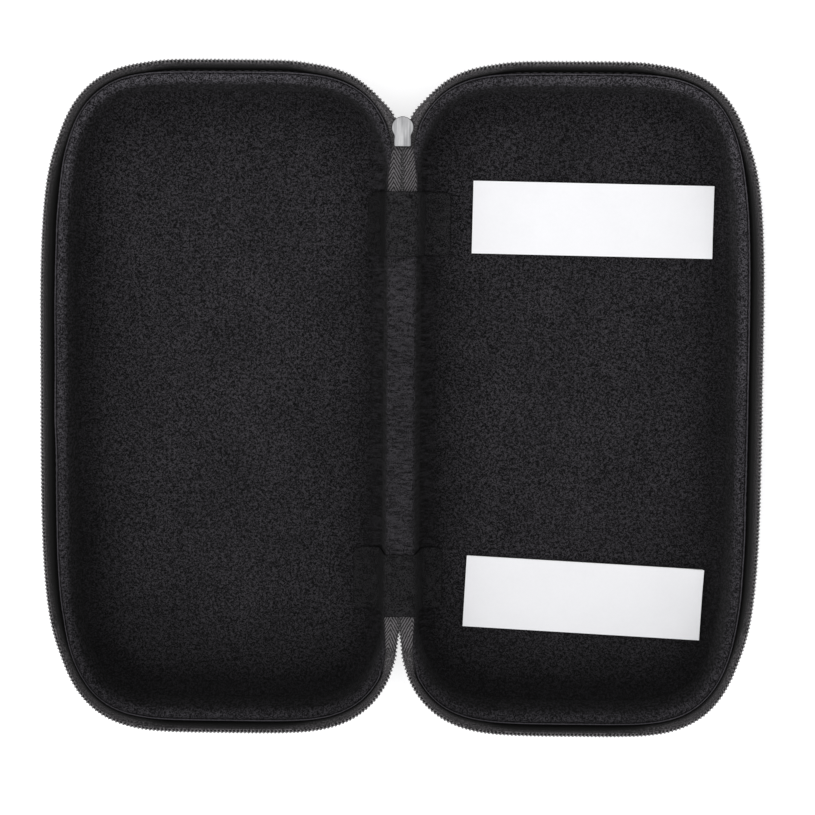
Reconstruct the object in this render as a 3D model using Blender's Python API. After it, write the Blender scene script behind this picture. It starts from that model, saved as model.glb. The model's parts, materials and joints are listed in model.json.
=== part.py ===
"""Zipped hard-shell carry case, lying open flat like a book on its two back panels.

Two moulded trays mirror each other about a cloth spine: the base at +X and the lid at -X.
Each tray is a laminate of outer fabric, foam core and fleece lining, with a zip tape sewn
round the outside of its rim. The closed ends of the zip lie on the spine, one of them in
the slider. Felt patches cover both zip ends, and two strips of mounting tape with their
release liners lie on the base's floor.

Frame: +Z up, X across the open case, Y along the spine. The origin is on the table, under
the middle of the spine. All lengths are metres.
"""

import math

import bmesh
import bpy
import numpy as np
from mathutils import Matrix, Vector

GAP = 0.0003  # clearance kept between pieces that touch on the real case

# Tray outline at the rim, from above: a superellipse, longer towards the hinge and cut flat there.
# Its power grows with the inset, which keeps the laminate's layers parallel round the corners.
RIM_POWER = 4.62
POWER_PER_METRE = 106.0
TRAY_CENTRE_X = 0.0700
FREE_REACH = 0.06975
HINGE_REACH = 0.0722
HALF_LENGTH = 0.1315
HINGE_FACE_X = 0.0011
RING_POINTS = 40

# Tray section: a drafted wall that turns into a flat floor through a round fillet.
RIM_Z = 0.0270
WALL_DRAFT = 0.0032
FILLET_RADIUS = 0.0100
FILLET_STEPS = 4
FABRIC_THICKNESS = 0.0007
FOAM_THICKNESS = 0.0022
LINING_THICKNESS = 0.0009
HINGE_DROP = 0.0050  # how far the hinge walls stop below the rim, under the spine
HINGE_DROP_ANGLE = 37.0  # degrees of outline, each way from the hinge, that are lowered

# Zip sewn outside the rim of each tray.
ZIP_END_ANGLE = 126.0  # degrees of outline, each way from the free side, that carry the zip
TAPE_THICKNESS = 0.0008
TAPE_BELOW_RIM = 0.0080
TAPE_ABOVE_RIM = 0.00535
TAPE_LEAN = 0.0020
COIL_LOW = 0.0033
COIL_HIGH = 0.0052
COIL_THICKNESS = 0.0011
SEAM_BELOW_RIM = 0.0045
THREAD_WIDTH = 0.0005

# Cloth spine between the two fold lines.
FOLD_X = 0.0055
SPINE_HALF_WIDTH = 0.0052
SPINE_HALF_LENGTH = 0.0800
SPINE_FABRIC_Z = RIM_Z - 0.0019

# Closed zip chain at both ends of the spine.
CHAIN_START_Y = SPINE_HALF_LENGTH + GAP
UPPER_CHAIN_END_Y = 0.1090
LOWER_CHAIN_END_Y = -0.0940
CHAIN_HALF_WIDTH_START = 0.0052
CHAIN_HALF_WIDTH_END = 0.0040
CHAIN_TAPE_Z = RIM_Z - 0.0010
CHAIN_COIL_HALF_WIDTH = 0.0022
CHAIN_COIL_Z = RIM_Z - 0.00305
CHAIN_COIL_HEIGHT = 0.00175

# Slider, its mouth towards +Y.
SLIDER_TAIL_Y = 0.1020
SLIDER_HEAD_Y = 0.1140
SLIDER_TAIL_HALF_WIDTH = 0.0034
SLIDER_HEAD_RADIUS = 0.0044
BACK_PLATE_Z = RIM_Z + 0.00015
BACK_PLATE_THICKNESS = 0.0010
FRONT_PLATE_Z = RIM_Z - 0.0046
FRONT_PLATE_THICKNESS = 0.0012
FLANGE_WIDTH = 0.0008
FLANGE_TOP_Z = RIM_Z - 0.00135
POST_CENTRE_Y = 0.1112
POST_HALF_LENGTH = 0.0015
POST_HALF_WIDTH = 0.0012

# Bridge under the slider, and the pull tab that hangs in it.
PIVOT_Y = 0.1075
PIVOT_Z = RIM_Z - 0.0056
BRIDGE_HALF_WIDTH = 0.0009
BRIDGE_LEG = 0.0010
BRIDGE_HALF_OPENING = 0.0019
BRIDGE_BAR_Z = RIM_Z - 0.0074
BRIDGE_BAR_HEIGHT = 0.0008
TAB_HALF_WIDTH = 0.0030
TAB_LENGTH = 0.0180
TAB_THICKNESS = 0.0012
TAB_WINDOW_HALF_WIDTH = 0.0015
TAB_WINDOW_START = 0.0006
TAB_WINDOW_END = 0.0039

# Felt patches over the spine: name, lowest Y, highest Y, reach on the base, reach on the lid.
PATCH_THICKNESS = 0.0010
PATCH_GAP = 0.0004
PATCH_WING_TOP_Z = RIM_Z - 0.0002
PATCHES = (
    ("upper_patch", 0.0583, 0.0843, 0.0196, 0.0144),
    ("lower_patch", -0.0876, -0.0622, 0.0172, 0.0196),
)

# Mounting tape on the base floor: name, centre X, centre Y, turn in degrees.
STRIP_LENGTH = 0.0982
STRIP_WIDTH = 0.0296
STRIP_CORNER = 0.0006
ADHESIVE_THICKNESS = 0.0005
LINER_THICKNESS = 0.0003
STRIPS = (
    ("upper", 0.0775, 0.0735, -0.9),
    ("lower", 0.0757, -0.0827, -2.9),
)

LINING_DEPTH = FABRIC_THICKNESS + FOAM_THICKNESS + 2 * GAP
FLOOR_Z = LINING_DEPTH + LINING_THICKNESS
FILLET_INSET = WALL_DRAFT * (RIM_Z - FILLET_RADIUS) / RIM_Z + FILLET_RADIUS

MATERIALS = {
    "outer_fabric": ((0.012, 0.012, 0.013), 0.75, 0.0),
    "foam": ((0.030, 0.030, 0.032), 0.85, 0.0),
    "fleece": ((0.014, 0.013, 0.016), 0.95, 0.0),
    "felt": ((0.011, 0.010, 0.012), 0.95, 0.0),
    "zip_tape": ((0.035, 0.034, 0.038), 0.80, 0.0),
    "nylon": ((0.060, 0.058, 0.062), 0.45, 0.0),
    "thread": ((0.018, 0.018, 0.019), 0.70, 0.0),
    "zinc": ((0.480, 0.480, 0.490), 0.38, 1.0),
    "adhesive": ((0.700, 0.700, 0.680), 0.60, 0.0),
    "release_paper": ((0.900, 0.900, 0.910), 0.50, 0.0),
}


def clear_scene():
    for thing in list(bpy.data.objects):
        bpy.data.objects.remove(thing, do_unlink=True)


def principled(name):
    """The named material, made on its first use."""
    if name in bpy.data.materials:
        return bpy.data.materials[name]
    colour, roughness, metallic = MATERIALS[name]
    made = bpy.data.materials.new(name)
    made.use_nodes = True
    shader = made.node_tree.nodes["Principled BSDF"]
    shader.inputs["Base Color"].default_value = (*colour, 1.0)
    shader.inputs["Roughness"].default_value = roughness
    shader.inputs["Metallic"].default_value = metallic
    return made


def pivot(name, place, parent=None):
    """An empty at a place in the world, for the pieces that turn or slide with it."""
    empty = bpy.data.objects.new(name, None)
    empty.location = Vector(place)
    if parent is not None:
        empty.parent = parent
        empty.location -= Vector(parent["place"])
    empty["place"] = tuple(place)
    bpy.context.collection.objects.link(empty)
    return empty


def add_piece(name, bm, material, parent):
    """One named object from a mesh in world coordinates, with its origin on its parent's pivot."""
    bmesh.ops.recalc_face_normals(bm, faces=bm.faces)
    bmesh.ops.translate(bm, verts=bm.verts, vec=-Vector(parent["place"]))
    mesh = bpy.data.meshes.new(name)
    bm.to_mesh(mesh)
    bm.free()
    mesh.shade_smooth()
    mesh.set_sharp_from_angle(angle=math.radians(40))
    mesh.materials.append(principled(material))
    piece = bpy.data.objects.new(name, mesh)
    piece.parent = parent
    bpy.context.collection.objects.link(piece)
    return piece


def loft(rings, round_trip=False):
    """A closed body through rings of equal length: capped at both ends, or joined end to start.

    Every facet is split from its lower ring up to its higher one, so nested layers stay parallel.
    """
    bm = bmesh.new()
    rows = [[bm.verts.new(point) for point in ring] for ring in rings]
    pairs = list(zip(rows, rows[1:]))
    if round_trip:
        pairs.append((rows[-1], rows[0]))
    else:
        bm.faces.new(rows[0])
        bm.faces.new(reversed(rows[-1]))
    for first, second in pairs:
        rising = first[0].co.z <= second[0].co.z
        for i in range(len(first)):
            j = (i + 1) % len(first)
            if rising:
                bm.faces.new((first[i], first[j], second[j]))
                bm.faces.new((first[i], second[j], second[i]))
            else:
                bm.faces.new((first[i], first[j], second[i]))
                bm.faces.new((first[j], second[j], second[i]))
    return bm


def block(low, high):
    """A box between two corners."""
    bm = bmesh.new()
    centre = (Vector(low) + Vector(high)) / 2
    size = Vector(high) - Vector(low)
    bmesh.ops.create_cube(bm, size=1.0, matrix=Matrix.Translation(centre) @ Matrix.Diagonal((*size, 1.0)))
    return bm


def prism(outline, low_z, high_z):
    """An outline of (x, y) points raised between two heights."""
    return loft([[(x, y, z) for x, y in outline] for z in (low_z, high_z)])


# ---------------------------------------------------------------- trays


def outline_point(angle, inset):
    """A point of the tray outline, with its semi-axes shortened by the inset."""
    power = 2 / (RIM_POWER + POWER_PER_METRE * inset)
    across = math.cos(angle)
    along = math.sin(angle)
    reach = FREE_REACH if across > 0 else HINGE_REACH
    x = TRAY_CENTRE_X + (reach - inset) * math.copysign(abs(across) ** power, across)
    y = (HALF_LENGTH - inset) * math.copysign(abs(along) ** power, along)
    return max(x, HINGE_FACE_X + inset), y


def ring_angles():
    return [2 * math.pi * i / RING_POINTS for i in range(RING_POINTS)]


def hinge_drop(angle):
    """How far the rim is lowered at this angle of the outline."""
    from_hinge = abs(math.degrees(angle) - 180)
    return HINGE_DROP if from_hinge < HINGE_DROP_ANGLE else 0.0


def tray_ring(side, inset, z, at_rim=False):
    """One level ring of a tray wall. At the rim it dips where the spine crosses it."""
    ring = []
    for angle in ring_angles():
        x, y = outline_point(angle, inset)
        height = z - hinge_drop(angle) if at_rim else z
        ring.append((side * x, y, height))
    return ring


def draft_at(z):
    """How far the wall leans in at a height below the rim."""
    return WALL_DRAFT * (RIM_Z - z) / RIM_Z


def fillet_stations(depth):
    """(inset, z) round the fillet at a depth in the laminate, from the floor up to the wall."""
    radius = FILLET_RADIUS - depth
    stations = []
    for i in range(FILLET_STEPS + 1):
        angle = math.radians(90 * (1 - i / FILLET_STEPS))
        stations.append((FILLET_INSET - radius * math.cos(angle), FILLET_RADIUS - radius * math.sin(angle)))
    return stations


def tray_body(side, outer_depth, inner_depth, rim_stations):
    """A bowl between two depths of the laminate, closed over its rim by the given stations."""
    rings = [tray_ring(side, inset, z) for inset, z in fillet_stations(outer_depth)]
    rings += [tray_ring(side, inset, z, at_rim=True) for inset, z in rim_stations]
    rings += [tray_ring(side, inset, z) for inset, z in reversed(fillet_stations(inner_depth))]
    return loft(rings)


def build_tray(prefix, side, parent):
    """The three layers of one half."""
    hidden_top = RIM_Z - LINING_THICKNESS - GAP
    lean = draft_at(hidden_top)
    fabric_rim = [(lean, hidden_top), (FABRIC_THICKNESS + lean, hidden_top)]
    fabric = tray_body(side, 0.0, FABRIC_THICKNESS, fabric_rim)
    add_piece(prefix + "_outer_fabric", fabric, "outer_fabric", parent)

    foam_outside = FABRIC_THICKNESS + GAP
    foam_inside = foam_outside + FOAM_THICKNESS
    foam_rim = [(foam_outside + lean, hidden_top), (foam_inside + lean, hidden_top)]
    foam = tray_body(side, foam_outside, foam_inside, foam_rim)
    add_piece(prefix + "_foam_shell", foam, "foam", parent)

    lip_z = RIM_Z - LINING_THICKNESS
    lip = [(LINING_DEPTH + lean, lip_z), (0.0, lip_z), (0.0, RIM_Z), (FLOOR_Z, RIM_Z)]
    lining = tray_body(side, LINING_DEPTH, FLOOR_Z, lip)
    add_piece(prefix + "_lining", lining, "fleece", parent)


# ---------------------------------------------------------------- zip round the rims


def rim_sweep(side, section):
    """A closed section of (inset, z) points carried round the rim, from one zip end to the other."""
    last = math.floor(ZIP_END_ANGLE / 360 * RING_POINTS + 0.5)
    rings = []
    for i in range(-last, last + 1):
        angle = 2 * math.pi * i / RING_POINTS
        places = [outline_point(angle, inset) for inset, z in section]
        rings.append([(side * x, y, z) for (x, y), (inset, z) in zip(places, section)])
    return loft(rings)


def tape_face(z):
    """Inset of the zip tape's inner face at a height: against the wall, then leaning out."""
    if z <= RIM_Z:
        return draft_at(z) - GAP
    return -GAP - TAPE_LEAN * (z - RIM_Z) / TAPE_ABOVE_RIM


def build_zip(prefix, side, parent):
    """Tape, tooth row and seam of one half."""
    heights = (RIM_Z - TAPE_BELOW_RIM, RIM_Z, RIM_Z + TAPE_ABOVE_RIM)
    inner = [(tape_face(z), z) for z in heights]
    outer = [(inset - TAPE_THICKNESS, z) for inset, z in reversed(inner)]
    add_piece(prefix + "_zip_tape", rim_sweep(side, inner + outer), "zip_tape", parent)

    low = RIM_Z + COIL_LOW
    high = RIM_Z + COIL_HIGH
    middle = (low + high) / 2
    inner = [(tape_face(z) - TAPE_THICKNESS - GAP, z) for z in (low, high)]
    crown = tape_face(middle) - TAPE_THICKNESS - GAP - COIL_THICKNESS
    shoulder = (high - low) / 4
    outer = [(crown, high - shoulder), (crown, low + shoulder)]
    add_piece(prefix + "_zip_coil", rim_sweep(side, inner + outer), "nylon", parent)

    low = RIM_Z - SEAM_BELOW_RIM
    high = low + THREAD_WIDTH
    inner = [(tape_face(z) - TAPE_THICKNESS - GAP, z) for z in (low, high)]
    outer = [(inset - THREAD_WIDTH, z) for inset, z in reversed(inner)]
    add_piece(prefix + "_zip_seam", rim_sweep(side, inner + outer), "thread", parent)


# ---------------------------------------------------------------- spine


def build_spine(parent):
    """Outer cloth and lining of the strip between the fold lines."""
    low = (-SPINE_HALF_WIDTH, -SPINE_HALF_LENGTH)
    high = (SPINE_HALF_WIDTH, SPINE_HALF_LENGTH)
    cloth = block((*low, SPINE_FABRIC_Z), (*high, SPINE_FABRIC_Z + FABRIC_THICKNESS))
    add_piece("spine_outer_fabric", cloth, "outer_fabric", parent)
    lining = block((*low, RIM_Z - LINING_THICKNESS), (*high, RIM_Z))
    add_piece("spine_lining", lining, "fleece", parent)


def build_chain(prefix, end_y, parent):
    """The closed zip from the spine's end out to end_y: two tapes and two tooth rows."""
    outward = math.copysign(1.0, end_y)
    start_y = outward * CHAIN_START_Y
    for owner, side in (("base", 1), ("lid", -1)):
        tape = [
            (side * GAP / 2, start_y),
            (side * CHAIN_HALF_WIDTH_START, start_y),
            (side * CHAIN_HALF_WIDTH_END, end_y),
            (side * GAP / 2, end_y),
        ]
        cloth = prism(tape, CHAIN_TAPE_Z, CHAIN_TAPE_Z + TAPE_THICKNESS)
        add_piece(f"{prefix}_chain_tape_{owner}", cloth, "zip_tape", parent)
        row = block(
            (min(side * GAP / 2, side * CHAIN_COIL_HALF_WIDTH), min(start_y, end_y), CHAIN_COIL_Z),
            (
                max(side * GAP / 2, side * CHAIN_COIL_HALF_WIDTH),
                max(start_y, end_y),
                CHAIN_COIL_Z + CHAIN_COIL_HEIGHT,
            ),
        )
        add_piece(f"{prefix}_chain_coil_{owner}", row, "nylon", parent)


# ---------------------------------------------------------------- felt patches


def hinge_x(inset, y):
    """X of the tray's hinge wall at an inset, on the straight facets between the ring's points."""
    points = [outline_point(angle, inset) for angle in ring_angles()]
    hinge_side = sorted((py, px) for px, py in points if px < TRAY_CENTRE_X)
    return float(np.interp(y, [p[0] for p in hinge_side], [p[1] for p in hinge_side]))


def wing_face(depth, reach):
    """(inset, z) down the hinge wall and out over the floor, ending at the given distance from the centre."""
    radius = FILLET_RADIUS - depth
    end_inset = reach - HINGE_FACE_X
    face = [(depth, PATCH_WING_TOP_Z)]
    cosine = max(0.0, (FILLET_INSET - end_inset) / radius)
    last_angle = math.degrees(math.acos(cosine))
    for i in range(FILLET_STEPS + 1):
        angle = math.radians(last_angle * i / FILLET_STEPS)
        face.append((FILLET_INSET - radius * math.cos(angle), FILLET_RADIUS - radius * math.sin(angle)))
    if end_inset > FILLET_INSET:
        face.append((end_inset, depth))
    return face


def build_wing(name, side, low_y, high_y, reach, parent):
    """The part of a patch that lies on one tray's lining."""
    back = wing_face(FLOOR_Z + PATCH_GAP, reach)
    front = wing_face(FLOOR_Z + PATCH_GAP + PATCH_THICKNESS, reach)
    section = back + front[::-1]
    rings = []
    for y in np.linspace(low_y, high_y, 4):
        rings.append([(side * hinge_x(inset, y), float(y), z) for inset, z in section])
    add_piece(name, loft(rings), "felt", parent)


def build_patches(base, spine, lid):
    """Each patch is one piece of felt, cut here at the two fold lines."""
    for name, low_y, high_y, base_reach, lid_reach in PATCHES:
        bridge = block(
            (-SPINE_HALF_WIDTH, low_y, RIM_Z + GAP),
            (SPINE_HALF_WIDTH, high_y, RIM_Z + GAP + PATCH_THICKNESS),
        )
        add_piece(name + "_spine", bridge, "felt", spine)
        build_wing(name + "_base_wing", 1, low_y, high_y, base_reach, base)
        build_wing(name + "_lid_wing", -1, low_y, high_y, lid_reach, lid)


# ---------------------------------------------------------------- slider and pull tab


def slider_outline():
    """Bulb outline: a round head, flanks that taper to the tail."""
    radius = SLIDER_HEAD_RADIUS
    head_centre = SLIDER_HEAD_Y - radius
    outline = []
    for i in range(9):
        angle = math.radians(180 * i / 8)
        outline.append((radius * math.cos(angle), head_centre + radius * math.sin(angle)))
    outline.append((-SLIDER_TAIL_HALF_WIDTH, SLIDER_TAIL_Y))
    outline.append((SLIDER_TAIL_HALF_WIDTH, SLIDER_TAIL_Y))
    return outline


def slider_flange(side):
    """One side wall of the slider's channel, from the tail to the head's centre."""
    head_centre = SLIDER_HEAD_Y - SLIDER_HEAD_RADIUS
    outline = [
        (side * SLIDER_TAIL_HALF_WIDTH, SLIDER_TAIL_Y),
        (side * SLIDER_HEAD_RADIUS, head_centre),
        (side * (SLIDER_HEAD_RADIUS - FLANGE_WIDTH), head_centre),
        (side * (SLIDER_TAIL_HALF_WIDTH - FLANGE_WIDTH), SLIDER_TAIL_Y),
    ]
    return prism(outline, FRONT_PLATE_Z + FRONT_PLATE_THICKNESS / 2, FLANGE_TOP_Z)


def slider_post():
    """The post that joins the two plates and parts the tooth rows."""
    outline = []
    for i in range(10):
        angle = 2 * math.pi * i / 10
        outline.append((POST_HALF_WIDTH * math.cos(angle), POST_CENTRE_Y + POST_HALF_LENGTH * math.sin(angle)))
    low = FRONT_PLATE_Z + FRONT_PLATE_THICKNESS / 2
    high = BACK_PLATE_Z + BACK_PLATE_THICKNESS / 2
    return prism(outline, low, high)


def slider_bridge():
    """The arch under the front plate: two legs and a bar, drawn as one U outline."""
    outside = BRIDGE_HALF_OPENING + BRIDGE_LEG
    top = FRONT_PLATE_Z + FRONT_PLATE_THICKNESS / 2
    bar_top = BRIDGE_BAR_Z + BRIDGE_BAR_HEIGHT
    outline = [
        (-outside, top),
        (-outside, BRIDGE_BAR_Z),
        (outside, BRIDGE_BAR_Z),
        (outside, top),
        (BRIDGE_HALF_OPENING, top),
        (BRIDGE_HALF_OPENING, bar_top),
        (-BRIDGE_HALF_OPENING, bar_top),
        (-BRIDGE_HALF_OPENING, top),
    ]
    rings = []
    for x in (-BRIDGE_HALF_WIDTH, BRIDGE_HALF_WIDTH):
        rings.append([(x, PIVOT_Y + y, z) for y, z in outline])
    return loft(rings)


def build_slider(parent):
    """Front plate joined to its flanges, post, bridge and back plate."""
    front = prism(slider_outline(), FRONT_PLATE_Z, FRONT_PLATE_Z + FRONT_PLATE_THICKNESS)
    body = add_piece("slider_body", front, "zinc", parent)
    back = prism(slider_outline(), BACK_PLATE_Z, BACK_PLATE_Z + BACK_PLATE_THICKNESS)
    additions = {
        "add_post": slider_post(),
        "add_base_flange": slider_flange(1),
        "add_lid_flange": slider_flange(-1),
        "add_bridge": slider_bridge(),
        "add_back_plate": back,
    }
    for name, bm in additions.items():
        helper = add_piece(name, bm, "zinc", parent)
        helper.hide_render = True
        helper.display_type = "WIRE"
        join = body.modifiers.new(name, "BOOLEAN")
        join.operation = "UNION"
        join.solver = "EXACT"
        join.object = helper


def build_pull_tab(parent):
    """A flat tab hanging from its pivot, with a window round the slider's bridge."""
    corner = TAB_HALF_WIDTH * 0.5
    top = PIVOT_Z + TAB_THICKNESS / 2
    foot = PIVOT_Z - TAB_LENGTH
    outer = rounded_rectangle(TAB_HALF_WIDTH, foot, top, corner)
    window_low = PIVOT_Z - TAB_WINDOW_END
    window_high = PIVOT_Z - TAB_WINDOW_START
    inner = rounded_rectangle(TAB_WINDOW_HALF_WIDTH, window_low, window_high, GAP)
    front = PIVOT_Y + TAB_THICKNESS / 2
    back = PIVOT_Y - TAB_THICKNESS / 2
    rings = [
        [(x, front, z) for x, z in outer],
        [(x, back, z) for x, z in outer],
        [(x, back, z) for x, z in inner],
        [(x, front, z) for x, z in inner],
    ]
    add_piece("pull_tab", loft(rings, round_trip=True), "zinc", parent)


def rounded_rectangle(half_width, low, high, corner):
    """Twelve points round a rectangle centred on zero in its first direction."""
    outline = []
    for quarter, (sx, end) in enumerate(((1, high), (-1, high), (-1, low), (1, low))):
        centre = (sx * (half_width - corner), end - corner if end == high else end + corner)
        for step in range(3):
            angle = math.radians(90 * quarter + 45 * step)
            outline.append((centre[0] + corner * math.cos(angle), centre[1] + corner * math.sin(angle)))
    return outline


# ---------------------------------------------------------------- mounting tape


def build_strips(parent):
    """Adhesive tape and its release liner, stacked on the base floor."""
    outline = rounded_rectangle(STRIP_LENGTH / 2, -STRIP_WIDTH / 2, STRIP_WIDTH / 2, STRIP_CORNER)
    adhesive_z = FLOOR_Z + GAP
    liner_z = adhesive_z + ADHESIVE_THICKNESS + GAP
    for name, centre_x, centre_y, turn in STRIPS:
        place = Matrix.Translation((centre_x, centre_y, 0.0)) @ Matrix.Rotation(math.radians(turn), 4, "Z")
        layers = (
            ("_adhesive_tape", adhesive_z, ADHESIVE_THICKNESS, "adhesive"),
            ("_release_liner", liner_z, LINER_THICKNESS, "release_paper"),
        )
        for suffix, z, thickness, material in layers:
            bm = prism(outline, z, z + thickness)
            bmesh.ops.transform(bm, matrix=place, verts=bm.verts)
            add_piece(name + suffix, bm, material, parent)


def main():
    clear_scene()
    base = pivot("base_half", (0.0, 0.0, 0.0))
    spine = pivot("spine_fold_line", (FOLD_X, 0.0, RIM_Z), base)
    lid = pivot("lid_fold_line", (-FOLD_X, 0.0, RIM_Z), spine)
    slider = pivot("slider_seat", (0.0, SLIDER_TAIL_Y, RIM_Z), spine)
    tab_pin = pivot("pull_tab_pin", (0.0, PIVOT_Y, PIVOT_Z), slider)

    for prefix, side, parent in (("base", 1, base), ("lid", -1, lid)):
        build_tray(prefix, side, parent)
        build_zip(prefix, side, parent)
    build_spine(spine)
    build_chain("upper", UPPER_CHAIN_END_Y, spine)
    build_chain("lower", LOWER_CHAIN_END_Y, spine)
    build_patches(base, spine, lid)
    build_slider(slider)
    build_pull_tab(tab_pin)
    build_strips(base)


main()
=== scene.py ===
"""Looks of the zipped carry case: fleece trays, woven outside, coil zip, felt patches, slider and tape."""

import json
import math

import bmesh
import bpy
import numpy as np
from mathutils import Matrix, Vector, noise


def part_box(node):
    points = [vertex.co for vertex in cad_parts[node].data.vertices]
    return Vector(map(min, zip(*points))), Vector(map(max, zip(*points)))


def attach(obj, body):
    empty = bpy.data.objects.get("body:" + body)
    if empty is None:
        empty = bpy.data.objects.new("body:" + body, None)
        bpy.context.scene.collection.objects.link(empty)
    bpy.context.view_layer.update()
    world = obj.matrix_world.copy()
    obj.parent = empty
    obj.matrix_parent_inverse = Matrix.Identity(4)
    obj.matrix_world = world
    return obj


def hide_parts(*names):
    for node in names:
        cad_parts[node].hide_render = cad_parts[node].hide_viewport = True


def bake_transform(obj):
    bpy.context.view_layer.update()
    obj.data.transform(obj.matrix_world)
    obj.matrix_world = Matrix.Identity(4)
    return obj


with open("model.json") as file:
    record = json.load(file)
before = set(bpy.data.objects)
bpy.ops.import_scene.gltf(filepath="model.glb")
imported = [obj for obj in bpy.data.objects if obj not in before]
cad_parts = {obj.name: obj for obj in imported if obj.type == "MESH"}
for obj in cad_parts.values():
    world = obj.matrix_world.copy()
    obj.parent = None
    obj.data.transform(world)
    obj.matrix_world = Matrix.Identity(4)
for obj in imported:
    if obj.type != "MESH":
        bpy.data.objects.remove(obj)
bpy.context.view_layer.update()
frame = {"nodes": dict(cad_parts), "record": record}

# ---------------------------------------------------------------- driving sizes, in metres

LINING_LOW, LINING_HIGH = (np.array(corner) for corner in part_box("base_lining"))
RIM_Z = LINING_HIGH[2]
HALF_LENGTH = LINING_HIGH[1]
HINGE_FACE_X = LINING_LOW[0]
TRAY_CENTRE_X = 0.0700
FREE_REACH = LINING_HIGH[0] - TRAY_CENTRE_X
HINGE_REACH = 0.0722
RIM_POWER = 4.62
POWER_PER_METRE = 106.0
WALL_DRAFT = 0.0032
FILLET_RADIUS = 0.0100
CLOTH = 0.0007
FLEECE = 0.0009
FLEECE_BACK = LINING_LOW[2]
FLOOR_Z = FLEECE_BACK + FLEECE
FILLET_INSET = WALL_DRAFT * (RIM_Z - FILLET_RADIUS) / RIM_Z + FILLET_RADIUS
FOLD_X = abs(frame["record"]["behaviour"]["joints"][0]["pos_m"][0])

RING_POINTS = 400
SPINE_END_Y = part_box("spine_lining")[1][1]

# How far the lining's edge stays from the middle beside the closed zip: (y, x) from end to end.
LINING_EDGE_Y = (-0.1120, -0.1048, -0.0985, -0.0900, 0.0896, 0.1005, 0.1057, 0.1105)
LINING_EDGE_X = (0.0073, 0.0056, 0.0055, 0.0060, 0.0057, 0.0043, 0.0050, 0.0066)
UPPER_CORNER = (0.1060, 0.1125)  # |y| where the closed end's section starts and ends turning into the rim's
LOWER_CORNER = (0.1075, 0.1150)

TAPE_SEWN_DEPTH = 0.0080
TAPE_THICKNESS = 0.0005
TAPE_LEAN_AT_CORNERS = 0.0026
TAPE_LEAN_ON_SIDES = 0.0037
TAPE_LEAN_AT_ENDS = (0.0030, 0.0024)
TAPE_EDGE_Z = RIM_Z + 0.0042
CHAIN_Z = RIM_Z - 0.00085
CHAIN_HALF_GAP = 0.00028
UPPER_RISE = (0.1195, 0.1315)  # |y| over which the teeth climb from the spine's level to above the rim
LOWER_RISE = (0.0975, 0.1220)

COIL_PITCH = 0.00154
COIL_WIRE = 0.00030
COIL_SPREAD = 0.00125
COIL_RISE = 0.00055

SHOULDER_Z = RIM_Z - 0.0050  # where the walls start turning into the rim
FRONT_STATIONS = 34  # points of the rim's section: over the top, then back underneath
BACK_STATIONS = 12
FLOOR_SHARES = (0.08, 0.2, 0.35, 0.5, 0.65, 0.8, 0.9, 0.97)
PATCH_LIFT = 0.00065

# ---------------------------------------------------------------- mesh helpers


def smoothstep(value, low, high):
    t = np.clip((np.asarray(value, float) - low) / (high - low), 0.0, 1.0)
    return t * t * (3 - 2 * t)


def make_object(name, points, faces, material, body=None, weave=None, smooth_angle=50):
    """A mesh object that keeps its rest place, and its weave directions, as point attributes."""
    mesh = bpy.data.meshes.new(name)
    mesh.from_pydata([tuple(p) for p in np.asarray(points, float)], [], faces)
    mesh.validate()
    bm = bmesh.new()
    bm.from_mesh(mesh)
    bmesh.ops.recalc_face_normals(bm, faces=bm.faces)
    bm.to_mesh(mesh)
    bm.free()
    keep_rest(mesh, weave)
    mesh.shade_smooth()
    mesh.set_sharp_from_angle(angle=math.radians(smooth_angle))
    mesh.materials.append(material)
    made = bpy.data.objects.new(name, mesh)
    bpy.context.collection.objects.link(made)
    if body:
        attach(made, body)
    return made


def places_of(mesh):
    flat = np.zeros(len(mesh.vertices) * 3, np.float32)
    mesh.vertices.foreach_get("co", flat)
    return flat.reshape(-1, 3)


def keep_rest(mesh, weave=None):
    if "rest" in mesh.attributes:
        mesh.attributes.remove(mesh.attributes["rest"])
    rest = mesh.attributes.new("rest", "FLOAT_VECTOR", "POINT")
    rest.data.foreach_set("vector", places_of(mesh).ravel())
    if weave is not None:
        layer = mesh.attributes.new("weave", "FLOAT_VECTOR", "POINT")
        layer.data.foreach_set("vector", np.asarray(weave, np.float32).ravel())


def strip_faces(rows, columns, close_rows=False, close_columns=False):
    """Quads of a grid of points numbered row by row."""
    faces = []
    for r in range(rows if close_rows else rows - 1):
        for c in range(columns if close_columns else columns - 1):
            a = r * columns + c
            b = r * columns + (c + 1) % columns
            low = ((r + 1) % rows) * columns
            faces.append((a, b, low + (c + 1) % columns, low + c))
    return faces


def swept(sections, capped=True):
    """Points and faces of closed sections carried along a path."""
    rows, columns = sections.shape[:2]
    faces = strip_faces(rows, columns, close_columns=True)
    if capped:
        faces.append(tuple(range(columns))[::-1])
        faces.append(tuple((rows - 1) * columns + c for c in range(columns)))
    return sections.reshape(-1, 3), faces


def gathered(parts):
    """Points and faces of several swept pieces as one."""
    points, faces = [], []
    for more, more_faces in parts:
        first = len(points)
        faces += [tuple(v + first for v in face) for face in more_faces]
        points += list(more)
    return points, faces


def tube(path, first, second, sides):
    """Closed sections round a path, spanned by two vectors at each of its points."""
    turn = np.linspace(0, 2 * math.pi, sides, endpoint=False)[:, None]
    return path[:, None] + first[:, None] * np.cos(turn) + second[:, None] * np.sin(turn)


def mirrored(points, side):
    points = np.array(points, float)
    points[..., 0] *= side
    return points


def path_length(points):
    """The distance along a path to each of its points."""
    return np.concatenate([[0], np.cumsum(np.linalg.norm(np.diff(points, axis=0), axis=1))])


def at_distance(points, length, at):
    return np.stack([np.interp(at, length, column) for column in points.T], axis=1)


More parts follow.
